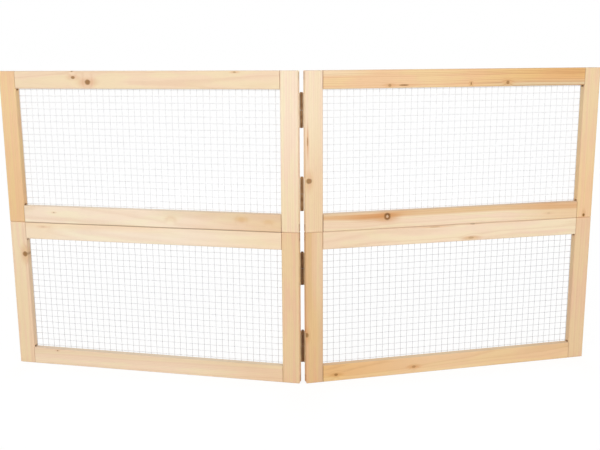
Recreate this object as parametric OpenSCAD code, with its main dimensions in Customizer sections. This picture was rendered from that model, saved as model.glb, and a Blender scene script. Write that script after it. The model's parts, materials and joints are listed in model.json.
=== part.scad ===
/* [Panels] */
// Width of one panel
panel_w = 600; // [400:5:900]
// Height of one panel
panel_h = 300; // [240:5:500]
// Angle of each wing back from a straight line
wing_angle = 13; // [8:1:30]

/* [Battens] */
// Face width of a batten
batten_w = 34; // [30:1:45]
// Thickness of a batten
batten_t = 15; // [13:1:22]
// Radius of the eased edges
edge_r = 2.5; // [0.5:0.25:3]

/* [Corner joints] */
// Thickness of the tongue at each end of a rail
tongue_t = 8; // [6:0.5:8.5]
// Distance from the outer edge of a stile to the end of the tongue in it
tongue_back = 2.5; // [0.5:0.25:4]
// Length of a slot past the inner edge of its rail
slot_overrun = 3.5; // [0.5:0.5:6]
// Room between the curved end of a tongue and its slot
slot_room = 2; // [0.5:0.25:3]

/* [Wire mesh] */
// Distance from one wire to the next
mesh_pitch = 12.7; // [10:0.1:16]
// Diameter of a wire
wire_d = 0.9; // [0.6:0.1:1.2]
// Least overlap of the mesh on the battens
mesh_lap = 10; // [8:1:12]
// Length of a wire past the outermost crossing
wire_stub = 1; // [0.5:0.5:2]
// Depth to which crossing wires are welded into each other
weld_depth = 0.15; // [0.05:0.05:0.25]

/* [Staples] */
// Width of a staple across its crown
staple_w = 8; // [6:0.5:9]
// Length of a staple's leg in the wood
staple_l = 6; // [4:0.5:8]
// Breadth of the staple wire
staple_b = 1; // [0.8:0.1:1.2]
// Thickness of the staple wire
staple_t = 0.6; // [0.5:0.1:0.8]
// Greatest distance between two staples
staple_step = 85; // [40:5:120]

/* [Hinges] */
// Height of a hinge
hinge_h = 66; // [56:1:80]
// Distance from the end of a panel to the middle of its hinge
hinge_inset = 72; // [60:1:90]
// Outer diameter of the knuckles
knuckle_d = 5; // [4.5:0.25:6]
// Gap between the two knuckles of a hinge
knuckle_gap = 1; // [0.5:0.25:2]
// Thickness of the closed end of a knuckle
knuckle_cap = 2; // [1.5:0.25:3]
// Radius round the closed end of a knuckle
knuckle_end_r = 1.2; // [0.5:0.1:1.5]
// Thickness of a hinge leaf
leaf_t = 1; // [0.8:0.1:1.3]
// Width of a leaf on the edge of its batten
leaf_w = 11; // [9:0.5:12]
// Radius of the corners of a leaf
leaf_corner_r = 3; // [1:0.5:4]
// Diameter of a hinge pin
pin_d = 2.6; // [2:0.1:2.8]
// Clearance round a pin in the capped knuckle
pin_play = 0.08; // [0.02:0.01:0.1]
// Room left between two panels folded back to back, staples included
fold_room = 1.5; // [0.6:0.1:4]

/* [Screws] */
// Diameter of a screw's head
screw_head_d = 5; // [4:0.25:6]
// Diameter of a screw's shank
screw_d = 2.6; // [2:0.1:3]
// Length of a screw in the wood
screw_l = 14; // [10:1:18]
// Width of the slot in a screw's head
screw_slot = 0.8; // [0.5:0.1:1]
// Number of screws in a leaf
leaf_screws = 3; // [2:1:3]
// Distance from one screw of a leaf to the next
screw_step = 21; // [14:0.5:24]

/* [Stacking dowels] */
// Diameter of a dowel
dowel_d = 8; // [6:0.5:8]
// Depth of a dowel in the top rail of the lower panel
dowel_in = 16; // [12:1:18]
// Height of a dowel above the lower panel
dowel_out = 14; // [8:1:16]
// Cells of mesh from the side of the mesh to the middle of a dowel
dowel_cells = 5; // [4:1:12]
// Clearance round a dowel in the upper panel
dowel_play = 0.3; // [0.1:0.1:0.5]

/* [Fit] */
// Clearance round what is glued, screwed or driven in
fit = 0.05; // [0.03:0.01:0.1]

/* [Hidden] */
PALE = [0.95, 0.87, 0.76];
TAN = [0.90, 0.77, 0.61];
GOLDEN = [0.91, 0.71, 0.46];
ZINC = [0.78, 0.79, 0.80];
BRONZE = [0.45, 0.32, 0.21];
BEECH = [0.86, 0.72, 0.54];

opening_w = panel_w - 2 * batten_w;
opening_h = panel_h - 2 * batten_w;
cells_x = ceil((opening_w + 2 * mesh_lap) / mesh_pitch);
cells_z = ceil((opening_h + 2 * mesh_lap) / mesh_pitch);
mesh_x = (panel_w - cells_x * mesh_pitch) / 2;
mesh_z = (panel_h - cells_z * mesh_pitch) / 2;
mesh_t = 2 * wire_d - weld_depth;

knuckle_r = knuckle_d / 2;
knuckle_h = (hinge_h - knuckle_gap) / 2;
bore_l = knuckle_h - knuckle_cap;
leaf_h = hinge_h - 2 * knuckle_end_r;
// Distance of the hinge axis behind the panels, which lets them fold back to back
pivot_back = mesh_t + staple_t + fold_room / 2;
screw_y = batten_t - leaf_w / 2;
slot_r = batten_w + slot_overrun;
dowel_x = mesh_x + dowel_cells * mesh_pitch;

// The axis stands where the middle of the whole run's box is at y = 0
reach_front = (edge_r + knuckle_r) * sin(wing_angle) - (batten_t + pivot_back - edge_r) * cos(wing_angle) - edge_r;
reach_back = (panel_w - edge_r + knuckle_r) * sin(wing_angle) - (edge_r + pivot_back) * cos(wing_angle) + edge_r;
axis_y = -(reach_front + reach_back) / 2;

// Name, side, height of the foot, tones of the outer stile, hinge stile, top rail and bottom rail
PANELS = [
    ["lower_right", 1, 0, [PALE, GOLDEN, PALE, GOLDEN]],
    ["lower_left", -1, 0, [PALE, TAN, PALE, TAN]],
    ["upper_right", 1, panel_h, [PALE, TAN, GOLDEN, PALE]],
    ["upper_left", -1, panel_h, [GOLDEN, PALE, PALE, PALE]],
];
// Name and height of the middle of each hinge, from the top down
HINGES = [
    ["hinge_1", 2 * panel_h - hinge_inset],
    ["hinge_2", panel_h + hinge_inset],
    ["hinge_3", panel_h - hinge_inset],
    ["hinge_4", hinge_inset],
];
PANEL_PIECES = [
    "outer_stile", "hinge_stile", "top_rail", "bottom_rail", "wire_mesh", "mesh_staples", "hinge_screws",
];
HINGE_PIECES = ["capped_leaf", "pin_leaf", "pin"];

function spread(cells, length) =
    let (n = ceil(length / staple_step))
    [for (i = [0:n - 1]) (round((i + 0.5) * cells / n - 0.5) + 0.5) * mesh_pitch];
side_staples = [for (d = spread(cells_z, cells_z * mesh_pitch)) mesh_z + d];
rail_staples = [for (d = spread(cells_x, cells_x * mesh_pitch)) mesh_x + d];

module eased(w, h, r = edge_r) {
    translate([0, r]) square([w, h - 2 * r]);
    translate([r, 0]) square([w - 2 * r, h]);
    for (x = [r, w - r], y = [r, h - r])
        translate([x, y]) circle(r = r, $fn = 48);
}

// Left half mirrors the right half; both swing on the axis
module place(side, foot)
    mirror([side < 0 ? 1 : 0, 0, 0])
        translate([0, axis_y, foot])
            rotate([0, 0, wing_angle])
                translate([knuckle_r, -batten_t - pivot_back, 0])
                    children();

module at_both_ends(length)
    for (end = [0, 1])
        translate([end * length, 0, 0]) mirror([end, 0, 0]) children();

module stile_blank()
    intersection() {
        linear_extrude(panel_h) eased(batten_w, batten_t);
        translate([0, batten_t, 0]) rotate([90, 0, 0]) linear_extrude(batten_t) eased(batten_w, panel_h);
        rotate([90, 0, 90]) linear_extrude(batten_w) eased(batten_t, panel_h);
    }

// A slab in the middle of a batten's thickness, from an outline of its face
module midway(thickness)
    translate([0, (batten_t + thickness) / 2, 0])
        rotate([90, 0, 0]) linear_extrude(thickness) children();

// Cut with a disc from the end of a stile, so it runs past the rail and out through the far edge
module slots()
    for (top = [0, 1])
        translate([0, 0, top * panel_h]) mirror([0, 0, top])
            midway(tongue_t + 2 * fit) translate([batten_w, 0]) circle(r = slot_r, $fn = 128);

module tongue()
    midway(tongue_t)
        intersection() {
            translate([batten_w, 0]) circle(r = slot_r - slot_room, $fn = 128);
            translate([tongue_back, 0]) eased(opening_w, opening_h);
            square([batten_w + edge_r, batten_w]);
        }

module rail_blank() {
    translate([batten_w, 0, 0])
        rotate([90, 0, 90]) linear_extrude(opening_w) eased(batten_t, batten_w);
    at_both_ends(panel_w) tongue();
}

module staple(seat, grow = 0) {
    translate([0, batten_t + seat + staple_t / 2, 0])
        cube([staple_w + 2 * grow, staple_t, staple_b + 2 * grow], center = true);
    leg = seat + staple_l + grow;
    for (side = [-1, 1])
        translate([side * (staple_w - staple_t) / 2, batten_t + seat - leg / 2, 0])
            cube([staple_t + 2 * grow, leg, staple_b + 2 * grow], center = true);
}

module stile_staples(grow = 0)
    for (z = side_staples)
        translate([mesh_x, 0, z]) staple(wire_d, grow);

module rail_staples(grow = 0)
    for (x = rail_staples)
        translate([x, 0, mesh_z]) rotate([0, -90, 0]) staple(mesh_t, grow);

module leaf_screw_places()
    for (i = [0:leaf_screws - 1])
        translate([0, screw_y, (i - (leaf_screws - 1) / 2) * screw_step])
            rotate([0, 90, 0]) children();

module screw_places()
    for (z = [hinge_inset, panel_h - hinge_inset])
        translate([0, 0, z]) leaf_screw_places() children();

// Open at the outer edge of a rail
module dowel_holes(depth, play)
    at_both_ends(panel_w)
        translate([dowel_x, batten_t / 2, -1])
            cylinder(d = dowel_d + 2 * play, h = depth + play + 1, $fn = 48);

module plain_stile()
    difference() {
        stile_blank();
        slots();
        stile_staples(fit);
    }

module outer_stile()
    translate([panel_w, 0, 0]) mirror([1, 0, 0]) plain_stile();

module hinge_stile()
    difference() {
        plain_stile();
        screw_places() translate([0, 0, -1]) cylinder(d = screw_d + 2 * fit, h = screw_l + fit + 1, $fn = 32);
    }

// An upper panel lifts off the dowels in its bottom rails
module bottom_rail(foot)
    difference() {
        rail_blank();
        rail_staples(fit);
        if (foot > 0) dowel_holes(dowel_out, dowel_play);
    }

module top_rail(foot)
    translate([0, 0, panel_h]) mirror([0, 0, 1])
        difference() {
            rail_blank();
            rail_staples(fit);
            if (foot == 0) dowel_holes(dowel_in, fit);
        }

// A six-sided wire, with a ridge towards the wires that cross it
module wire(length)
    rotate([0, 0, 30]) cylinder(d = wire_d, h = length, $fn = 6);

module wire_mesh() {
    for (i = [0:cells_x])
        translate([mesh_x + i * mesh_pitch, batten_t + wire_d / 2, mesh_z - wire_stub])
            wire(cells_z * mesh_pitch + 2 * wire_stub);
    for (k = [0:cells_z])
        translate([mesh_x - wire_stub, batten_t + mesh_t - wire_d / 2, mesh_z + k * mesh_pitch])
            rotate([0, 90, 0]) wire(cells_x * mesh_pitch + 2 * wire_stub);
}

module mesh_staples() {
    at_both_ends(panel_w) stile_staples();
    for (top = [0, 1])
        translate([0, 0, top * panel_h]) mirror([0, 0, top]) rail_staples();
}

module hinge_screw()
    difference() {
        union() {
            translate([0, 0, -leaf_t]) cylinder(d1 = screw_head_d, d2 = screw_d, h = leaf_t, $fn = 32);
            cylinder(d = screw_d, h = screw_l - screw_d, $fn = 32);
            translate([0, 0, screw_l - screw_d]) cylinder(d1 = screw_d, d2 = screw_d / 4, h = screw_d, $fn = 32);
        }
        translate([0, 0, -leaf_t]) cube([screw_head_d + 1, screw_slot, leaf_t], center = true);
    }

// A leaf as high as its hinge, and the tab in its upper half that is rolled into a knuckle
module leaf_outline() {
    r = leaf_corner_r;
    translate([r, -leaf_h / 2]) square([leaf_w - r, leaf_h]);
    translate([0, r - leaf_h / 2]) square([r, leaf_h - 2 * r]);
    for (z = [r - leaf_h / 2, leaf_h / 2 - r])
        translate([r, z]) circle(r = r, $fn = 48);
    translate([leaf_w - r, knuckle_gap / 2]) square([r + pivot_back, (leaf_h - knuckle_gap) / 2]);
}

// Closed at its upper end
module knuckle()
    rotate_extrude($fn = 64) {
        square([knuckle_r, knuckle_h - knuckle_end_r]);
        square([knuckle_r - knuckle_end_r, knuckle_h]);
        translate([knuckle_r - knuckle_end_r, knuckle_h - knuckle_end_r])
            intersection() {
                circle(r = knuckle_end_r, $fn = 48);
                square(knuckle_end_r);
            }
    }

module leaf()
    difference() {
        union() {
            translate([-knuckle_r, batten_t + pivot_back, knuckle_gap / 2]) knuckle();
            translate([-leaf_t, batten_t - leaf_w, 0])
                rotate([90, 0, 90]) linear_extrude(leaf_t) leaf_outline();
        }
        translate([-knuckle_r, batten_t + pivot_back, knuckle_gap / 2 - 1])
            cylinder(d = pin_d + 2 * pin_play, h = bore_l + 1, $fn = 64);
        leaf_screw_places()
            translate([0, 0, -leaf_t])
                cylinder(d1 = screw_head_d + 2 * fit, d2 = screw_d + 2 * fit, h = leaf_t, $fn = 32);
    }

// Round-nosed, so that it bears on the closed end of the capped knuckle
module pin() {
    low = -knuckle_gap / 2 - bore_l + fit;
    high = knuckle_gap / 2 + bore_l - fit;
    r = pin_d / 2;
    rotate_extrude($fn = 64) {
        translate([0, low]) square([r, high - low - r]);
        translate([0, high - r])
            intersection() {
                circle(r = r, $fn = 48);
                square(r);
            }
    }
}

module stacking_dowels()
    at_both_ends(panel_w)
        translate([dowel_x, batten_t / 2, panel_h - dowel_in])
            cylinder(d = dowel_d, h = dowel_in + dowel_out, $fn = 48);

for (panel = PANELS) {
    name = panel[0];
    side = panel[1];
    foot = panel[2];
    tones = panel[3];
    color(tones[0]) place(side, foot) outer_stile();
    color(tones[1]) place(side, foot) hinge_stile();
    color(tones[2]) place(side, foot) top_rail(foot);
    color(tones[3]) place(side, foot) bottom_rail(foot);
    color(ZINC) place(side, foot) wire_mesh();
    color(ZINC) place(side, foot) mesh_staples();
    color(BRONZE) place(side, foot) screw_places() hinge_screw();
    if (foot == 0)
            color(BEECH) place(side, foot) stacking_dowels();
}
for (hinge = HINGES) {
    name = hinge[0];
    height = hinge[1];
    color(BRONZE) place(-1, height) leaf();
    color(BRONZE) place(1, height) mirror([0, 0, 1]) leaf();
    color(BRONZE) translate([0, axis_y, height]) pin();
}
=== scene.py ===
import json
import math
from collections import namedtuple
from dataclasses import dataclass

import bpy
import numpy as np
from mathutils import Matrix, Vector


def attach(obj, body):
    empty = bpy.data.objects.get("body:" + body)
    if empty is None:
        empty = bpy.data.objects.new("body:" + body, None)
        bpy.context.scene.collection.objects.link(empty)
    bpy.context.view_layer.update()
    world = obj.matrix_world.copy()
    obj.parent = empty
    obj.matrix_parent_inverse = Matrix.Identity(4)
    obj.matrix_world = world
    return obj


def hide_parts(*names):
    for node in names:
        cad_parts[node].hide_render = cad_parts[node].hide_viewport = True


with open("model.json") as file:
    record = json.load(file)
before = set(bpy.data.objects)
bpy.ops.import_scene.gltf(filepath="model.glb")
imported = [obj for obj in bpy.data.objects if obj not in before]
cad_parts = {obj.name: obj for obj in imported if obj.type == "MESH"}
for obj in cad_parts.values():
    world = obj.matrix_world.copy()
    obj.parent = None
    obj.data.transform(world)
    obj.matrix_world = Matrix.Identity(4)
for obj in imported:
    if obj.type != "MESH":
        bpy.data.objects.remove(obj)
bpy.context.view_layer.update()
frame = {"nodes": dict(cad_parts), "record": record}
record = frame["record"]

MM = 0.001
UP = Vector((0, 0, 1))

# Sizes that the CAD model has too
PANEL_W = 600 * MM
PANEL_H = 300 * MM
BATTEN_W = 34 * MM
BATTEN_T = 15 * MM
MESH_PITCH = 12.7 * MM
MESH_LAP = 10 * MM
WIRE_D = 0.9 * MM
WIRE_STUB = 1 * MM
WELD_DEPTH = 0.15 * MM
KNUCKLE_D = 5 * MM
FOLD = next(joint for joint in record["behaviour"]["joints"] if joint["name"] == "fold")
HINGE_AXIS = Vector(FOLD["pos_m"])

LEVELS = ("lower", "upper")
SIDES = ("right", "left")
PANELS = [f"{level}_{side}" for level in LEVELS for side in SIDES]


# Panels and battens each have a frame of their own: a corner and three directions
Place = namedtuple("Place", "origin x y z")


def panel_place(panel):
    """From a panel's hinge edge, from its front face, and up from its foot"""
    mount = next(mount for mount in record["mounts"] if mount["name"] == panel + "_edge_face")
    x = Vector(mount["axis"])
    y = Vector((-x.y, x.x, 0)) * math.copysign(1, x.x)
    middle = Vector(mount["pos_m"])
    return Place(middle - x * PANEL_W - y * BATTEN_T / 2 - UP * PANEL_H / 2, x, y, UP)


PLACES = {panel: panel_place(panel) for panel in PANELS}


def batten_place(name):
    """Along a batten's grain, across its face and through its thickness"""
    level, side, _ = name.split("_", 2)
    panel = PLACES[f"{level}_{side}"]
    if name.endswith("stile"):
        edge = PANEL_W - BATTEN_W if "outer" in name else 0
        return Place(panel.origin + panel.x * edge, panel.z, panel.x, panel.y)
    foot = PANEL_H - BATTEN_W if "top" in name else 0
    return Place(panel.origin + panel.z * foot, panel.x, panel.z, panel.y)


def srgb(text):
    """A colour written as six hex digits, for a shader"""
    values = [int(text[i:i + 2], 16) / 255 for i in (0, 2, 4)]
    linear = [v / 12.92 if v <= 0.04045 else ((v + 0.055) / 1.055) ** 2.4 for v in values]
    return (*linear, 1.0)


def grey(level):
    return (level, level, level, 1.0)


# Shader graphs

class Graph:
    """The nodes of a material or a world, wired as they are made"""

    def __init__(self, owner):
        owner.use_nodes = True
        self.owner = owner
        self.tree = owner.node_tree

    def put(self, socket, value):
        if isinstance(value, bpy.types.NodeSocket):
            self.tree.links.new(value, socket)
        else:
            socket.default_value = value

    def add(self, kind, inputs=(), **settings):
        node = self.tree.nodes.new("ShaderNode" + kind)
        for key, value in settings.items():
            setattr(node, key, value)
        for key, value in dict(inputs).items():
            self.put(node.inputs[key], value)
        return node

    def here(self):
        return self.add("TexCoord").outputs["Object"]

    def math(self, operation, *values):
        return self.add("Math", enumerate(values), operation=operation).outputs[0]

    def vector(self, operation, *values):
        return self.add("VectorMath", enumerate(values), operation=operation).outputs[0]

    def length(self, vector):
        return self.add("VectorMath", {0: vector}, operation="LENGTH").outputs["Value"]

    def dot(self, a, b):
        return self.add("VectorMath", {0: a, 1: b}, operation="DOT_PRODUCT").outputs["Value"]

    def join(self, x, y, z):
        return self.add("CombineXYZ", {0: x, 1: y, 2: z}).outputs[0]

    def noise(self, vector, detail):
        return self.add("TexNoise", {"Vector": vector, "Scale": 1.0, "Detail": detail}).outputs["Fac"]

    def blend(self, share, a, b, mode="MIX"):
        node = self.add("Mix", data_type="RGBA", blend_type=mode)
        for key, value in ((0, share), (6, a), (7, b)):
            self.put(node.inputs[key], value)
        return node.outputs[2]

    def tint(self, share, colour, filter_colour):
        return self.blend(share, colour, self.blend(1.0, colour, filter_colour, "MULTIPLY"))

    def span(self, value, low, high, start=0.0, end=1.0):
        """Goes smoothly from start to end as value goes from low to high"""
        inputs = {0: value, 1: low, 2: high, 3: start, 4: end}
        return self.add("MapRange", inputs, interpolation_type="SMOOTHSTEP").outputs[0]

    def ramp(self, value, stops):
        node = self.add("ValToRGB", {0: value})
        elements = node.color_ramp.elements
        while len(elements) < len(stops):
            elements.new(0.5)
        for element, (position, level) in zip(elements, stops):
            element.position = position
            element.color = grey(level)
        return node.outputs[0]

    def shade(self, inputs):
        for key, value in inputs.items():
            self.put(self.tree.nodes["Principled BSDF"].inputs[key], value)

    def bump(self, height, strength, distance):
        inputs = {"Height": height, "Strength": strength, "Distance": distance}
        self.shade({"Normal": self.add("Bump", inputs).outputs[0]})


def new_material(name):
    return Graph(bpy.data.materials.new(name))


# Pine: the tones of its wood and of what marks it

IVORY = "FAECD5"
PALE = "F8E5CA"
CREAM = "F4DFC1"
OAT = "F3DBBA"
SAND = "F0D6B2"
TAN = "EDD0AC"
STRAW = "F2D2A6"
HONEY = "EECC9C"
AMBER = "EDC488"
LATE_WOOD = "CC9257"
RED_LATE_WOOD = "BF7233"
HEARTWOOD = srgb("DDA066")
PALE_HEARTWOOD = srgb("E6BE8C")
GOLDEN = srgb("FFFBEA")
ROSY = srgb("FFF0EA")
# Painted shade for the seam between the levels and the joints of the battens
SEAM_SHADE = srgb("8A6240")
KNOT_DARK = srgb("643D0A")
KNOT_LIGHT = srgb("A36C16")
KNOT_STAIN = srgb("D28E4C")
RESIN_STAIN = srgb("DDB070")
# Dust and painted shade on faces that look up
DUST_AND_SHADE = srgb("C9C3B8")
PITH_LIGHT = srgb("E2C4A2")
END_GRAIN = srgb("C9A680")

# Places on a batten are in mm: along a stile from its foot and across it from its hinge side,
# and along a rail from the panel's hinge edge and across it from its lower side


@dataclass
class Knot:
    """A knot, or a stain of resin, on the face of a batten"""
    along: float
    across: float
    radius: float
    # How much of it shows, where 0 is only a stain of resin
    dark: float = 1.0
    # Its length along the grain over its width
    stretch: float = 1.2
    # How pale its pith is
    hollow: float = 0.0
    # How strongly it stains the wood round it
    stain: float = 0.55
    # Share of the bend that the rings make round it
    bend: float = 1.0


# A tone that comes up over a part of a batten: where it starts and is full across and along, and its share
Flush = namedtuple("Flush", "tone across along share")
# A stretch where the rings swing away from the pith
Bulge = namedtuple("Bulge", "along reach depth")


@dataclass
class Board:
    """How one batten was sawn, and what marks it"""
    # Tones at its two ends
    start: str
    end: str
    # Where the pith lies, across the batten and through its thickness
    pith: tuple
    # Width of a year, and how strongly its late wood shows
    spacing: float
    contrast: float
    # How fast the rings run out along the batten, and how far they wander
    slope: float = 0.0
    warp: float = 2.0
    late: str = LATE_WOOD
    # Stretch over which start turns into end, and the factor on the contrast at its end
    reach: tuple = (40, 500)
    swell: float = 1.0
    # Radius of the heartwood, if there is some
    heart: float = 0.0
    # Strength of the golden and rosy clouds
    lean: float = 0.6
    # Shares of painted shade on the seam between the levels, and in the joints at the hinge end and the outer
    # end
    painted_shade: float = 0.0
    joints: tuple = (0.5, 0.5)
    knots: tuple = ()
    flushes: tuple = ()
    bulges: tuple = ()


BOARDS = {
    "upper_left_outer_stile": Board(HONEY, STRAW, (90, 20), 3.4, 0.16, reach=(30, 270), lean=0.8),
    "upper_left_hinge_stile": Board(CREAM, IVORY, (-70, -30), 4.6, 0.12, reach=(0, 240), lean=0.8),
    "upper_left_top_rail": Board(
        CREAM, CREAM, (10, -60), 3.2, 0.20, 0.012, 2.5, joints=(0.1, 0.5),
        knots=(
            Knot(412, 12.8, 5.0, 0.84, 1.1, stain=0.4),
            Knot(442, 21.5, 2.8, 0.78, 1.4, stain=0.3),
            Knot(444, 33.5, 1.4, 0.74, stain=0.3),
            Knot(119, 31, 1.3, 0.45, 2.0, stain=0.4),
        ),
    ),
    "upper_left_bottom_rail": Board(
        TAN, IVORY, (25, 75), 3.6, 0.20, 0.016, 2.5, reach=(30, 280), painted_shade=0.45, joints=(0.3, 0.6),
        knots=(
            Knot(501, 22, 1.1, 0.42, 1.6, stain=0.3),
            Knot(111, 22, 3.6, 0.0, 1.1, stain=0.5),
            Knot(58, 19, 3.0, 0.0, 1.1, stain=0.35),
            Knot(253, 18, 3.2, 0.0, 1.2, stain=0.2),
        ),
        flushes=(Flush("DDBE98", (17, 26), (320, 240), 0.35),),
    ),
    "upper_right_outer_stile": Board(
        STRAW, SAND, (-60, 40), 3.6, 0.15, reach=(30, 270), lean=0.8,
        knots=(Knot(5.5, 16, 2.7, 1.0, 1.2, stain=0.4),),
    ),
    "upper_right_hinge_stile": Board(
        SAND, PALE, (95, 25), 3.8, 0.16, reach=(60, 240),
        knots=(Knot(98, 7, 5.4, 0.79, 0.95, stain=0.3), Knot(171, 4.5, 1.2, 0.55, 7.0)),
    ),
    "upper_right_top_rail": Board(
        STRAW, AMBER, (110, 28), 3.3, 0.36, 0.004, 1.2, RED_LATE_WOOD,
        reach=(200, 520), swell=2.3, lean=0.75, joints=(0.35, 0.5),
        knots=(
            Knot(162, 5.2, 2.6, 0.55, stain=0.3),
            Knot(190, 5.2, 1.2, 0.95, 8.0, stain=0.3),
            Knot(325, 6.2, 3.0, 0.83, 0.45, stain=0.4),
            Knot(365, 6.6, 0.7, 0.32, 46.0, stain=0.0),
            Knot(401, 7.6, 3.4, 0.7, 1.0, stain=0.4),
        ),
        flushes=(
            Flush("E2CEA8", (15, 3), (330, 450), 0.75),
            Flush("E3B06F", (12, 22), (440, 560), 0.6),
            Flush("F6DCB8", (21, 27), (150, 60), 0.7),
        ),
    ),
    "upper_right_bottom_rail": Board(
        CREAM, PALE, (54, -14), 3.8, 0.24, 0.003, 2.5, reach=(120, 280), heart=36.5,
        painted_shade=0.1, joints=(0.75, 0.6),
        knots=(
            Knot(161, 23.5, 6.8, 1.0, 0.95, 0.9, 0.55, 0.0),
            Knot(132, 22, 4.4, 0.02, 2.4, stain=0.4, bend=0.0),
            Knot(503, 13, 1.8, 0.11, 2.0, stain=0.15),
        ),
        flushes=(
            Flush("F0CDA0", (24, 18), (390, 560), 0.85),
            Flush("EBCDA6", (28.5, 31), (195, 165), 0.8),
            Flush("E6C49E", (29, 32), (500, 540), 0.6),
        ),
        bulges=(Bulge(100, 90, 3.0), Bulge(600, 200, 5.5)),
    ),
    "lower_left_outer_stile": Board(
        OAT, CREAM, (-50, -60), 4.2, 0.15, reach=(100, 290), lean=0.7,
        knots=(Knot(234, 5.0, 5.3, 0.83, 1.0, stain=0.4),),
    ),
    "lower_left_hinge_stile": Board(TAN, TAN, (110, -20), 4.4, 0.15, reach=(30, 290), lean=0.9),
    "lower_left_top_rail": Board(
        "F7E2C2", IVORY, (18, -38), 4.2, 0.16, 0.018, 3.5, reach=(40, 260), lean=0.45,
        painted_shade=0.45, joints=(0.0, 0.5),
        knots=(Knot(527, 26, 1.6, 0.11, 2.4, stain=0.25),),
        flushes=(Flush("FAD0A0", (18, 29), (190, 330), 0.3), Flush("F5DAB0", (0, 1), (450, 540), 0.45)),
    ),
    "lower_left_bottom_rail": Board(
        "F2D9B6", PALE, (-50, 45), 3.3, 0.24, 0.01, 2.5, reach=(30, 260), joints=(0.05, 0.45),
        knots=(Knot(513, 30.5, 1.2, 0.74, stain=0.3),),
        flushes=(Flush("E4BD96", (12, 28), (20, 120), 0.3),),
    ),
    "lower_right_outer_stile": Board(TAN, TAN, (70, 60), 4.0, 0.16, lean=0.8),
    "lower_right_hinge_stile": Board(
        "E8C598", "ECD1A9", (-85, 10), 4.4, 0.18, reach=(110, 240), lean=0.9,
        knots=(Knot(99, 1.0, 3.8, 0.74, 1.2, stain=0.4),),
        flushes=(
            Flush("ECD4B4", (15, 27), (90, 190), 0.3),
            Flush("DDB078", (15, 8), (100, 180), 0.55),
            Flush("D6BFA0", (20, 28), (170, 110), 0.3),
        ),
    ),
    "lower_right_top_rail": Board(
        CREAM, PALE, (30, 65), 3.9, 0.24, 0.014, 3.0, reach=(40, 260), painted_shade=0.1, joints=(0.1, 0.4),
        knots=(
            Knot(336, 6.3, 2.3, 0.3, 2.6, stain=0.45),
            Knot(339, 33.5, 1.0, 0.5, 5.0, stain=0.2),
            Knot(259, 31.8, 1.0, 0.3, 10.0, stain=0.4),
        ),
    ),
    "lower_right_bottom_rail": Board(
        AMBER, STRAW, (40, -55), 3.1, 0.34, 0.016, 3.0, reach=(30, 300), joints=(0.35, 0.4),
        knots=(Knot(60, 13, 2.6, 0.69, 1.5), Knot(222, 14, 2.6, 0.46, 1.5)),
        flushes=(Flush("FFE6B8", (13, 3), (420, 340), 0.3), Flush("E0B484", (18, 27), (420, 510), 0.4)),
    ),
}

# A fade gives the two places where a value starts and ends to count, and its shares there if not 0 and 1

# Noise in the wood: how long its lumps are along the grain and how wide across it in mm, and its detail
SLOW_SWING = (300, 42, 1.0)
FINE_SWING = (60, 5, 2.0)
CLOUDS = (95, 30, 2.0)
STREAKS = (16, 0.45, 3.0)
RESIN_DUCTS = (4.5, 0.28, 0.0)
# Shift of the noise from one batten to the next
NOISE_SHIFT = 37.0

# How far the rings wander: the slow swing's share of a board's warp, and the fine swing in mm
SLOW_SHARE = 4
FINE_REACH = 1.4
# How many mm of growth a run of good or poor years takes, and how far it shifts the rings
CLIMATE_LENGTH = 7.0
CLIMATE_REACH = 9.0
CLIMATE_DETAIL = 1.0
FAINTEST_YEAR = 0.25
# Share of late wood through one year's growth
YEAR = ((0.0, 0.15), (0.12, 0.0), (0.5, 0.12), (0.84, 1.0), (0.93, 0.75), (1.0, 0.15))

# How strongly the clouds add to the climate, and where golden goes over into rosy
CLOUD_SHARE = 0.8
CLOUD_FADE = (0.4, 0.6)
STREAK_TONES = ((0.25, 0.93), (0.5, 1.0), (0.75, 1.0))
DUCT_FADE = (0.73, 0.8, 0.0, 0.35)

# Heartwood: how soft its edge is in mm, its share, and what it adds to the contrast
HEART_EDGE = 2.5
HEART_SHARE = 0.85
HEART_CONTRAST = 0.3
# Along the batten: where its pale middle starts, where it deepens again, and the pale stretch at the hinge end
HEART_PALES = (150, 240)
HEART_DEEPENS = (380, 520, 1.0, 0.3)
HEART_HINGE_END = (30, 120, 0.6, 0.0)

# Knots, in their own radii: their edge, the reach of their stain and of their bend, and their own rings
KNOT_EDGE = (0.7, 1.25)
KNOT_WANDER = 0.45
STAIN_REACH = (0.4, 2.6)
STAIN_STRETCH = 2.2
BEND_REACH = (0.4, 4.5)
BEND = 2.6
KNOT_TURNS = 2.6
TURN_FADE = (0.1, 0.9)
HOLLOW_KNOT_LIGHT = 0.25
PITH_FADE = (0.25, 0.5)

# How squarely a face looks along the grain or up, and the share of end grain that a sawn end gets and of dust
# and painted shade that an upward face gets
SAWN = (0.92, 0.99, 0.0, 0.6)
LEDGE = (0.6, 0.95, 0.0, 0.25)
# Where the painted shade thins and where it ends, in mm from the seam between the levels and from a joint
SEAM_REACH = (0.3, 1.5)
JOINT_REACH = (0.2, 0.9)

PINE_IOR = 1.48
EARLY_ROUGHNESS = 0.62
LATE_ROUGHNESS = 0.5
RING_HEIGHT = 0.5
STREAK_HEIGHT = 0.9
# A relief is how strongly it shows and how deep it is
PINE_RELIEF = (0.35, 0.12 * MM)


Grain = namedtuple("Grain", "along across deep shift")


def grain_space(g, place, seed):
    """Object coordinates in mm along, across and through a batten, and a shift of its own for its noise"""
    away = g.vector("SUBTRACT", g.here(), place.origin)
    along, across, deep = [g.dot(away, axis / MM) for axis in (place.x, place.y, place.z)]
    return Grain(along, across, deep, NOISE_SHIFT * seed)


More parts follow.
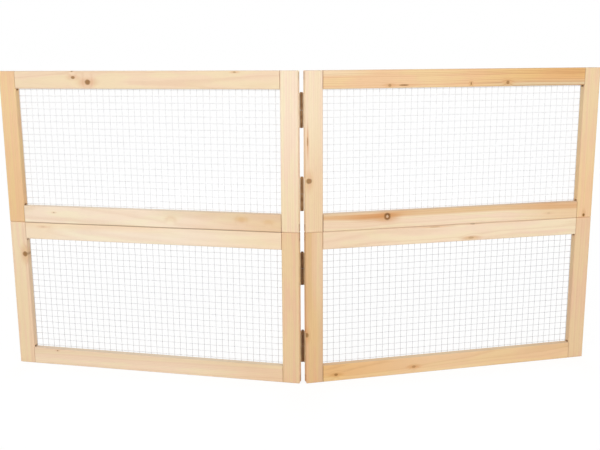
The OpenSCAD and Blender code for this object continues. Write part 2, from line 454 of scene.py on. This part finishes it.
def fibres(g, grain, length, width, detail):
    """Noise drawn out along the grain"""
    x = g.math("MULTIPLY_ADD", grain.along, 1 / length, grain.shift)
    y = g.math("DIVIDE", grain.across, width)
    z = g.math("DIVIDE", grain.deep, width)
    return g.noise(g.join(x, y, z), detail)


def swing(g, grain, length, width, detail):
    """Fibres about zero"""
    return g.math("SUBTRACT", fibres(g, grain, length, width, detail), 0.5)


def knot_marks(g, knot, grain, fine):
    """How far a point lies from a knot, in the knot's radii, its share of stain, and how far the rings bend"""
    x = g.math("DIVIDE", g.math("SUBTRACT", grain.along, knot.along), knot.stretch)
    y = g.math("SUBTRACT", grain.across, knot.across)
    away = g.math("DIVIDE", g.length(g.join(x, y, 0.0)), knot.radius)
    away = g.math("MULTIPLY_ADD", fine, KNOT_WANDER, away)
    drawn_out = g.length(g.join(g.math("DIVIDE", x, STAIN_STRETCH), y, 0.0))
    stain = g.span(g.math("DIVIDE", drawn_out, knot.radius), *STAIN_REACH, knot.stain, 0.0)
    push = g.span(away, *BEND_REACH, BEND * knot.radius * knot.stain * knot.bend, 0.0)
    return away, stain, push


def draw_knot(g, colour, knot, away, stain):
    colour = g.blend(stain, colour, KNOT_STAIN if knot.dark else RESIN_STAIN)
    turns = g.math("FRACT", g.math("MULTIPLY", away, KNOT_TURNS))
    light = HOLLOW_KNOT_LIGHT if knot.hollow else 1.0
    heart = g.blend(g.span(turns, *TURN_FADE, 0.0, light), KNOT_DARK, KNOT_LIGHT)
    if knot.hollow:
        heart = g.blend(g.span(away, *PITH_FADE, knot.hollow, 0.0), heart, PITH_LIGHT)
    return g.blend(g.span(away, *KNOT_EDGE, knot.dark, 0.0), colour, heart)


def growth(g, grain, board, fine, pushes):
    """A point's distance from the pith in mm, with all that bends the rings"""
    y = g.math("SUBTRACT", grain.across, board.pith[0])
    z = g.math("SUBTRACT", grain.deep, board.pith[1])
    field = g.length(g.join(0.0, y, z))
    field = g.math("MULTIPLY_ADD", grain.along, board.slope, field)
    field = g.math("MULTIPLY_ADD", swing(g, grain, *SLOW_SWING), SLOW_SHARE * board.warp, field)
    field = g.math("MULTIPLY_ADD", fine, FINE_REACH, field)
    for push in pushes:
        field = g.math("ADD", field, push)
    for bulge in board.bulges:
        off = g.math("ABSOLUTE", g.math("SUBTRACT", grain.along, bulge.along))
        field = g.math("ADD", field, g.span(off, 0, bulge.reach, -bulge.depth, 0.0))
    return field


def year_rings(g, grain, board, field):
    """How good the years were, and the share of late wood: good and poor years differ in width and in tone"""
    climate = g.noise(g.join(g.math("DIVIDE", field, CLIMATE_LENGTH), grain.shift, 0.0), CLIMATE_DETAIL)
    turn = g.math("DIVIDE", g.math("MULTIPLY_ADD", climate, CLIMATE_REACH, field), board.spacing)
    number = g.math("ADD", g.math("FLOOR", turn), grain.shift)
    luck = g.add("TexWhiteNoise", {"W": number}, noise_dimensions="1D").outputs["Value"]
    strength = g.math("MULTIPLY_ADD", luck, 1 - FAINTEST_YEAR, FAINTEST_YEAR)
    ring = g.ramp(g.math("FRACT", turn), YEAR)
    return climate, g.math("MULTIPLY", ring, strength)


def heartwood(g, along):
    pale = g.math("MULTIPLY", g.span(along, *HEART_PALES), g.span(along, *HEART_DEEPENS))
    pale = g.math("MAXIMUM", pale, g.span(along, *HEART_HINGE_END))
    return g.blend(pale, HEARTWOOD, PALE_HEARTWOOD)


def wood_tone(g, grain, board, field, climate):
    """The tone of the early wood, and how strongly the late wood shows on it"""
    tone = g.blend(g.span(grain.along, *board.reach), srgb(board.start), srgb(board.end))
    lean = g.math("MULTIPLY_ADD", swing(g, grain, *CLOUDS), CLOUD_SHARE, climate)
    clouds = g.blend(g.span(lean, *CLOUD_FADE), GOLDEN, ROSY)
    tone = g.blend(board.lean, tone, clouds, "MULTIPLY")
    contrast = g.span(grain.along, *board.reach, board.contrast, board.contrast * board.swell)
    if board.heart:
        heart = g.span(field, board.heart - HEART_EDGE, board.heart + HEART_EDGE, 1.0, 0.0)
        tone = g.blend(g.math("MULTIPLY", heart, HEART_SHARE), tone, heartwood(g, grain.along))
        contrast = g.math("MULTIPLY_ADD", heart, HEART_CONTRAST, contrast)
    for flush in board.flushes:
        over = g.span(grain.along, *flush.along, 0.0, flush.share)
        tone = g.blend(g.math("MULTIPLY", g.span(grain.across, *flush.across), over), tone, srgb(flush.tone))
    return tone, contrast


def weathered_and_shaded(g, colour, place):
    """Sawn ends are darker, and what faces up gets dust and painted shade"""
    normal = g.add("TexCoord").outputs["Normal"]
    end_on = g.math("ABSOLUTE", g.dot(normal, place.x))
    colour = g.tint(g.span(end_on, *SAWN), colour, END_GRAIN)
    # Dust and painted shade on faces that look up
    return g.blend(g.span(g.dot(normal, UP), *LEDGE), colour, DUST_AND_SHADE)


def seam_and_joint_shade(g, board, is_rail, along):
    """Painted shade where the two levels meet, in the joints, and on the ends of the tongues"""
    height = g.dot(g.here(), UP / MM)
    off_seam = g.math("ABSOLUTE", g.math("SUBTRACT", height, PANEL_H / MM))
    painted_shade = g.span(off_seam, *SEAM_REACH, board.painted_shade, 0.0)
    if is_rail:
        from_hinge = g.math("SUBTRACT", along, BATTEN_W / MM)
        from_outer = g.math("SUBTRACT", (PANEL_W - BATTEN_W) / MM, along)
        for inside, share in zip((from_hinge, from_outer), board.joints):
            painted_shade = g.math("MAXIMUM", painted_shade, g.span(inside, *JOINT_REACH, share, 0.0))
    return painted_shade


def pine(name, seed):
    board = BOARDS[name]
    place = batten_place(name)
    g = new_material("pine_" + name)
    grain = grain_space(g, place, seed)
    fine = swing(g, grain, *FINE_SWING)
    marks = [knot_marks(g, knot, grain, fine) for knot in board.knots]
    field = growth(g, grain, board, fine, [push for _, _, push in marks])
    climate, ring = year_rings(g, grain, board, field)
    tone, contrast = wood_tone(g, grain, board, field, climate)
    colour = g.blend(g.math("MULTIPLY", ring, contrast), tone, srgb(board.late))

    streaks = fibres(g, grain, *STREAKS)
    colour = g.blend(1.0, colour, g.ramp(streaks, STREAK_TONES), "MULTIPLY")
    ducts = g.span(fibres(g, grain, *RESIN_DUCTS), *DUCT_FADE)
    colour = g.blend(g.math("MULTIPLY", ducts, ring), colour, KNOT_LIGHT)
    for knot, (away, stain, _) in zip(board.knots, marks):
        colour = draw_knot(g, colour, knot, away, stain)
    colour = weathered_and_shaded(g, colour, place)
    # Painted shade darkens the seam between the levels and the joints
    colour = g.tint(seam_and_joint_shade(g, board, name.endswith("rail"), grain.along), colour, SEAM_SHADE)

    rough = g.math("MULTIPLY_ADD", ring, LATE_ROUGHNESS - EARLY_ROUGHNESS, EARLY_ROUGHNESS)
    height = g.math("ADD", g.math("MULTIPLY", ring, RING_HEIGHT), g.math("MULTIPLY", streaks, STREAK_HEIGHT))
    g.bump(height, *PINE_RELIEF)
    g.shade({"Base Color": colour, "Roughness": rough, "IOR": PINE_IOR})
    return g.owner


# Metals, and the beech of the dowels

ZINC_DULL = srgb("D8D8DA")
ZINC_BRIGHT = srgb("EFEFF0")
ZINC_BLOOM = srgb("F1F2F3")
ZINC_TARNISH_AND_SHADE = srgb("8E8C90")
LACQUER_GRIT = srgb("C9A274")
STEEL_DARK = srgb("7C7770")
STEEL_LIGHT = srgb("A9A49B")
BEECH_LIGHT = srgb("DDBB8E")
BEECH_DARK = srgb("CFA576")
BEECH_FLECK = srgb("9C6B40")

# Middle of a noise, where it goes over from one tone or roughness to the other
MIDDLE = (0.3, 0.7)

# Sizes of the noises in mm: width, and height and detail where they differ from it and from plain noise
SPANGLE = (2.2,)
BLOOM = (0.5,)
SPANGLE_FADE = (0.35, 0.65)
BLOOM_FADE = (0.6, 0.8, 0.0, 0.5)
ZINC_METALLIC = 0.4
ZINC_ROUGHNESS = (0.38, 0.55)
ZINC_RELIEF = (0.3, 0.05 * MM)

LACQUER_CLOUDS = (9.0,)
GRIT = (0.7, 0.7, 3.0)
GRIT_FADE = (0.62, 0.75, 0.0, 0.6)
# How far the change from knuckle to plate reaches
KNUCKLE_FADE = 0.4 * MM
KNUCKLE_METALLIC = 0.6
LACQUER_ROUGHNESS = (0.32, 0.5)
LACQUER_COAT = 0.6
LACQUER_COAT_ROUGHNESS = 0.2
LACQUER_RELIEF = (0.25, 0.05 * MM)

DRAWN_LINES = (0.11, 2.5)
STEEL_ROUGHNESS = (0.25, 0.4)

FLECKS = (0.4, 2.4, 1.0)
FLECK_FADE = (0.62, 0.72, 0.0, 0.7)
BANDS = (2.4, 40.0)
BEECH_ROUGHNESS = 0.55
BEECH_RELIEF = (0.3, 0.06 * MM)


def lumps(g, width, length=None, detail=2.0):
    """Noise whose lumps are so wide and so high, in mm"""
    scale = (1 / (width * MM), 1 / (width * MM), 1 / ((length or width) * MM))
    return g.noise(g.add("Mapping", {"Vector": g.here(), "Scale": scale}).outputs[0], detail)


def zinc(name, tarnish_and_shade):
    g = new_material(name)
    spangle = lumps(g, *SPANGLE)
    bloom = lumps(g, *BLOOM)
    colour = g.blend(g.span(spangle, *SPANGLE_FADE), ZINC_DULL, ZINC_BRIGHT)
    colour = g.blend(g.span(bloom, *BLOOM_FADE), colour, ZINC_BLOOM)
    # Tarnish darkens the zinc, and on the lower nets it also paints shade
    colour = g.blend(tarnish_and_shade, colour, ZINC_TARNISH_AND_SHADE)
    rough = g.span(spangle, *MIDDLE, *ZINC_ROUGHNESS)
    g.shade({"Base Color": colour, "Metallic": ZINC_METALLIC, "Roughness": rough})
    g.bump(bloom, *ZINC_RELIEF)
    return g.owner


def bronze(name, knuckle, plate_sheen):
    """Lacquered steel, dark where a knuckle is rolled round the hinges' axis, with a painted reflection that
    makes the plates pale
    """
    g = new_material(name)
    cloud = g.span(lumps(g, *LACQUER_CLOUDS), *MIDDLE)
    grit = lumps(g, *GRIT)
    away = g.length(g.vector("MULTIPLY", g.vector("SUBTRACT", g.here(), HINGE_AXIS), (1, 1, 0)))
    flat = g.span(away, KNUCKLE_D / 2, KNUCKLE_D / 2 + KNUCKLE_FADE)
    # The pale plate tones are a painted reflection
    tones = [g.blend(cloud, srgb(dull), srgb(bright)) for dull, bright in (knuckle, plate_sheen)]
    colour = g.blend(g.span(grit, *GRIT_FADE), g.blend(flat, *tones), LACQUER_GRIT)
    g.shade({"Base Color": colour, "Metallic": g.span(flat, 0.0, 1.0, KNUCKLE_METALLIC, 0.0)})
    g.shade({"Roughness": g.span(grit, *MIDDLE, *LACQUER_ROUGHNESS)})
    g.shade({"Coat Weight": LACQUER_COAT, "Coat Roughness": LACQUER_COAT_ROUGHNESS})
    g.bump(grit, *LACQUER_RELIEF)
    return g.owner


def drawn_steel():
    g = new_material("drawn_steel")
    lines = lumps(g, *DRAWN_LINES)
    colour = g.blend(lines, STEEL_DARK, STEEL_LIGHT)
    g.shade({"Base Color": colour, "Metallic": 1.0, "Roughness": g.span(lines, *MIDDLE, *STEEL_ROUGHNESS)})
    return g.owner


def beech():
    g = new_material("beech")
    flecks = lumps(g, *FLECKS)
    colour = g.blend(g.span(lumps(g, *BANDS), *MIDDLE), BEECH_LIGHT, BEECH_DARK)
    colour = g.blend(g.span(flecks, *FLECK_FADE), colour, BEECH_FLECK)
    g.shade({"Base Color": colour, "Roughness": BEECH_ROUGHNESS})
    g.bump(flecks, *BEECH_RELIEF)
    return g.owner


# Welded mesh of round wires

SIDES_OF_WIRE = 8
WELD_REACH = 0.7 * MM
WELD_SWELL = 1.14
# How far a wire strays: as one bow, as a double bow, and from crossing to crossing
WIRE_BOW = 0.175 * MM
WIRE_WAVE = 0.0875 * MM
WIRE_WANDER = 0.12 * MM


def tubes(lines, radii, first, second):
    """Closed tubes along lines of points, with round sections spanned by two directions"""
    wires, rings, _ = lines.shape
    n = SIDES_OF_WIRE
    angle = 2 * np.pi * np.arange(n) / n
    spokes = np.outer(np.cos(angle), first) + np.outer(np.sin(angle), second)
    points = lines[:, :, None, :] + radii[None, :, None, None] * spokes[None, None]
    faces = []
    for wire in range(wires):
        base = wire * rings * n
        for ring in range(rings - 1):
            a = base + ring * n
            faces += [(a + k, a + (k + 1) % n, a + n + (k + 1) % n, a + n + k) for k in range(n)]
        last = base + (rings - 1) * n
        faces.append(tuple(base + k for k in reversed(range(n))))
        faces.append(tuple(last + k for k in range(n)))
    return points.reshape(-1, 3), faces


def wire_rings(cells):
    """Places of a wire's rings along it, with the crossing that each one belongs to, and radii"""
    places = [-WIRE_STUB]
    owners = [0]
    radii = [WIRE_D / 2]
    for crossing in range(cells + 1):
        for step, swell in ((-WELD_REACH, 1.0), (0.0, WELD_SWELL), (WELD_REACH, 1.0)):
            places.append(crossing * MESH_PITCH + step)
            owners.append(crossing)
            radii.append(WIRE_D / 2 * swell)
    places.append(cells * MESH_PITCH + WIRE_STUB)
    owners.append(cells)
    radii.append(WIRE_D / 2)
    return np.array(places), np.array(owners), np.array(radii)


def wander(rng, wires, cells):
    """How far each wire strays sideways at each of its crossings"""
    along = np.linspace(0, math.pi, cells + 1)
    bow = rng.normal(0, WIRE_BOW, (wires, 1)) * np.sin(along)
    wave = rng.normal(0, WIRE_WAVE, (wires, 1)) * np.sin(2 * along)
    return bow + wave + rng.normal(0, WIRE_WANDER, (wires, cells + 1))


def cells_over(length):
    """How many cells cover the opening between two battens and lap onto them"""
    return math.ceil((length - 2 * BATTEN_W + 2 * MESH_LAP) / MESH_PITCH)


def wire_mesh(panel, seed, material):
    place = PLACES[panel]
    cells_x = cells_over(PANEL_W)
    cells_z = cells_over(PANEL_H)
    left = (PANEL_W - cells_x * MESH_PITCH) / 2
    low = (PANEL_H - cells_z * MESH_PITCH) / 2
    front = BATTEN_T + WIRE_D / 2
    rear = front + WIRE_D - WELD_DEPTH
    rng = np.random.default_rng(seed)
    axes = np.array([place.x, place.y, place.z])
    origin = np.array(place.origin)

    places, owners, radii = wire_rings(cells_z)
    x = left + MESH_PITCH * np.arange(cells_x + 1)[:, None] + wander(rng, cells_x + 1, cells_z)[:, owners]
    upright = np.stack([x, np.full_like(x, front), np.broadcast_to(low + places, x.shape)], axis=-1)
    points, faces = tubes(upright @ axes + origin, radii, axes[0], axes[1])

    places, owners, radii = wire_rings(cells_x)
    z = low + MESH_PITCH * np.arange(cells_z + 1)[:, None] + wander(rng, cells_z + 1, cells_x)[:, owners]
    level = np.stack([np.broadcast_to(left + places, z.shape), np.full_like(z, rear), z], axis=-1)
    more_points, more_faces = tubes(level @ axes + origin, radii, axes[1], axes[2])
    more_faces = [tuple(i + len(points) for i in face) for face in more_faces]

    mesh = bpy.data.meshes.new(panel + "_round_wires")
    mesh.from_pydata(np.concatenate([points, more_points]).tolist(), [], faces + more_faces)
    mesh.shade_smooth()
    mesh.materials.append(material)
    piece = bpy.data.objects.new(panel + "_round_wires", mesh)
    bpy.context.scene.collection.objects.link(piece)
    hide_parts(panel + "_wire_mesh")
    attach(piece, panel)


# Dressing the nodes

FIRST_NET_SEED = 11
# Tarnish on the nets; the extra tarnish on the lower nets is painted shade that makes their wires darker
NET_TARNISH_AND_SHADE = {"upper_left": 0.0, "upper_right": 0.0, "lower_left": 0.2, "lower_right": 0.3}
STAPLE_TARNISH = 0.1
STAPLE_EASE = 0.15 * MM
EASE_SEGMENTS = 2
EASED_FROM = math.radians(40)
# Dull and bright tones of the knuckles and of the plates: the pale plate tones are a painted reflection, and
# the upper and lower hinges are a lit and a shaded copy of one lacquer
LACQUERS_AND_PAINTED_LIGHT = {
    "upper": (("86603C", "A98459"), ("F0DABC", "FAECD6")),
    "lower": (("6A4423", "86603A"), ("D2B48A", "E2C79E")),
}
HINGES = {"upper": (1, 2), "lower": (3, 4)}


def paint(node, material):
    mesh = frame["nodes"][node].data
    mesh.materials.clear()
    mesh.materials.append(material)


def soften(node, width):
    modifier = frame["nodes"][node].modifiers.new("eased_edges", "BEVEL")
    modifier.width = width
    modifier.segments = EASE_SEGMENTS
    modifier.limit_method = "ANGLE"
    modifier.angle_limit = EASED_FROM


def dress_battens():
    for seed, name in enumerate(BOARDS, 1):
        paint(name, pine(name, seed))


def dress_nets():
    staple_zinc = zinc("staple_zinc", STAPLE_TARNISH)
    for seed, panel in enumerate(PANELS, FIRST_NET_SEED):
        wire_mesh(panel, seed, zinc(panel + "_zinc", NET_TARNISH_AND_SHADE[panel]))
        paint(panel + "_mesh_staples", staple_zinc)
        soften(panel + "_mesh_staples", STAPLE_EASE)


def dress_hinges():
    steel = drawn_steel()
    for level, tones in LACQUERS_AND_PAINTED_LIGHT.items():
        # The upper and lower hinges get a lit and a shaded copy of one lacquer, with a painted reflection on
        # the plates
        lacquer_and_painted_light = bronze(level + "_bronze", *tones)
        for number in HINGES[level]:
            paint(f"hinge_{number}_capped_leaf", lacquer_and_painted_light)
            paint(f"hinge_{number}_pin_leaf", lacquer_and_painted_light)
            paint(f"hinge_{number}_pin", steel)
        for side in SIDES:
            paint(f"{level}_{side}_hinge_screws", lacquer_and_painted_light)


def dress_dowels():
    wood = beech()
    for side in SIDES:
        paint(f"lower_{side}_stacking_dowels", wood)


# Floor, world, lamps and camera

WHITE = grey(1.0)
AMBIENT = 0.52
FLOOR_SIZE = 9.0
FLOOR_DROP = 0.2 * MM
FLOOR_GREY = 0.8
# What the camera sees of the floor near the object: a glow and a share of the light, and none of it further out
FLOOR_GLOW = 0.865
FLOOR_SHADE = 0.18
FLOOR_FADE = (2.0, 3.3)

Lamp = namedtuple("Lamp", "name place size power")
LAMPS = (
    Lamp("key", (-1.5, -2.9, 1.7), (1.8, 1.4), 36.5),
    Lamp("fill", (1.9, -2.6, 1.2), (1.8, 1.4), 25),
    Lamp("back", (0.0, 3.0, 2.2), (2.4, 1.4), 24),
)
LAMP_TARGET = (0, 0, 0.3)

# Fitted to the corners of the four panels in the photograph
CAMERA_PLACE = (-0.0169, -1.5953, 0.6274)
CAMERA_PAN = math.radians(0.483)
CAMERA_PITCH = math.radians(11.582)
CAMERA_ROLL = math.radians(0.351)
LENS = 49.8
SENSOR_WIDTH = 36


def add_to_scene(name, data):
    thing = bpy.data.objects.new(name, data)
    bpy.context.scene.collection.objects.link(thing)
    return thing


def seen_directly(g):
    """1 where the camera sees a surface straight, in a reflection or through glass"""
    path = g.add("LightPath")
    rays = [path.outputs[name] for name in ("Is Camera Ray", "Is Glossy Ray", "Is Transmission Ray")]
    return g.math("MAXIMUM", rays[0], g.math("MAXIMUM", rays[1], rays[2]))


def floor_material():
    g = new_material("floor")
    plain = g.add("BsdfDiffuse", {"Color": grey(FLOOR_GREY)}).outputs[0]
    shaded = g.add("BsdfDiffuse", {"Color": grey(FLOOR_SHADE)}).outputs[0]
    glow = g.add("Emission", {"Color": WHITE, "Strength": FLOOR_GLOW}).outputs[0]
    near_object = g.add("AddShader", {0: shaded, 1: glow}).outputs[0]
    far_off = g.add("Emission", {"Color": WHITE, "Strength": 1.0}).outputs[0]
    fade = g.span(g.length(g.here()), *FLOOR_FADE)
    shown = g.add("MixShader", {0: fade, 1: near_object, 2: far_off}).outputs[0]
    surface = g.add("MixShader", {0: seen_directly(g), 1: plain, 2: shown}).outputs[0]
    g.put(g.tree.nodes["Material Output"].inputs["Surface"], surface)
    return g.owner


def make_floor():
    half = FLOOR_SIZE / 2
    mesh = bpy.data.meshes.new("floor")
    corners = [(-half, -half, 0), (half, -half, 0), (half, half, 0), (-half, half, 0)]
    mesh.from_pydata(corners, [], [(0, 1, 2, 3)])
    mesh.materials.append(floor_material())
    floor = add_to_scene("floor", mesh)
    floor.location.z = -FLOOR_DROP


def make_world():
    g = Graph(bpy.data.worlds.new("white_room"))
    background = g.tree.nodes["Background"]
    g.put(background.inputs["Color"], WHITE)
    g.put(background.inputs["Strength"], g.span(seen_directly(g), 0.0, 1.0, AMBIENT, 1.0))
    bpy.context.scene.world = g.owner


def make_lamp(name, place, size, power):
    data = bpy.data.lights.new(name, "AREA")
    data.shape = "RECTANGLE"
    data.size, data.size_y = size
    data.energy = power
    lamp = add_to_scene(name, data)
    lamp.location = place
    lamp.rotation_euler = (Vector(LAMP_TARGET) - Vector(place)).to_track_quat("-Z", "Y").to_euler()


def make_camera():
    data = bpy.data.cameras.new("camera")
    data.lens = LENS
    data.sensor_width = SENSOR_WIDTH
    camera = add_to_scene("camera", data)
    pan = Matrix.Rotation(-CAMERA_PAN, 4, "Z")
    pitch = Matrix.Rotation(math.pi / 2 - CAMERA_PITCH, 4, "X")
    roll = Matrix.Rotation(-CAMERA_ROLL, 4, "Z")
    camera.matrix_world = Matrix.Translation(CAMERA_PLACE) @ (pan @ pitch @ roll)
    bpy.context.scene.camera = camera


dress_battens()
dress_nets()
dress_hinges()
dress_dowels()
make_floor()
make_world()
for lamp in LAMPS:
    make_lamp(*lamp)
make_camera()
bpy.context.scene.view_settings.view_transform = "Standard"

bpy.context.view_layer.update()
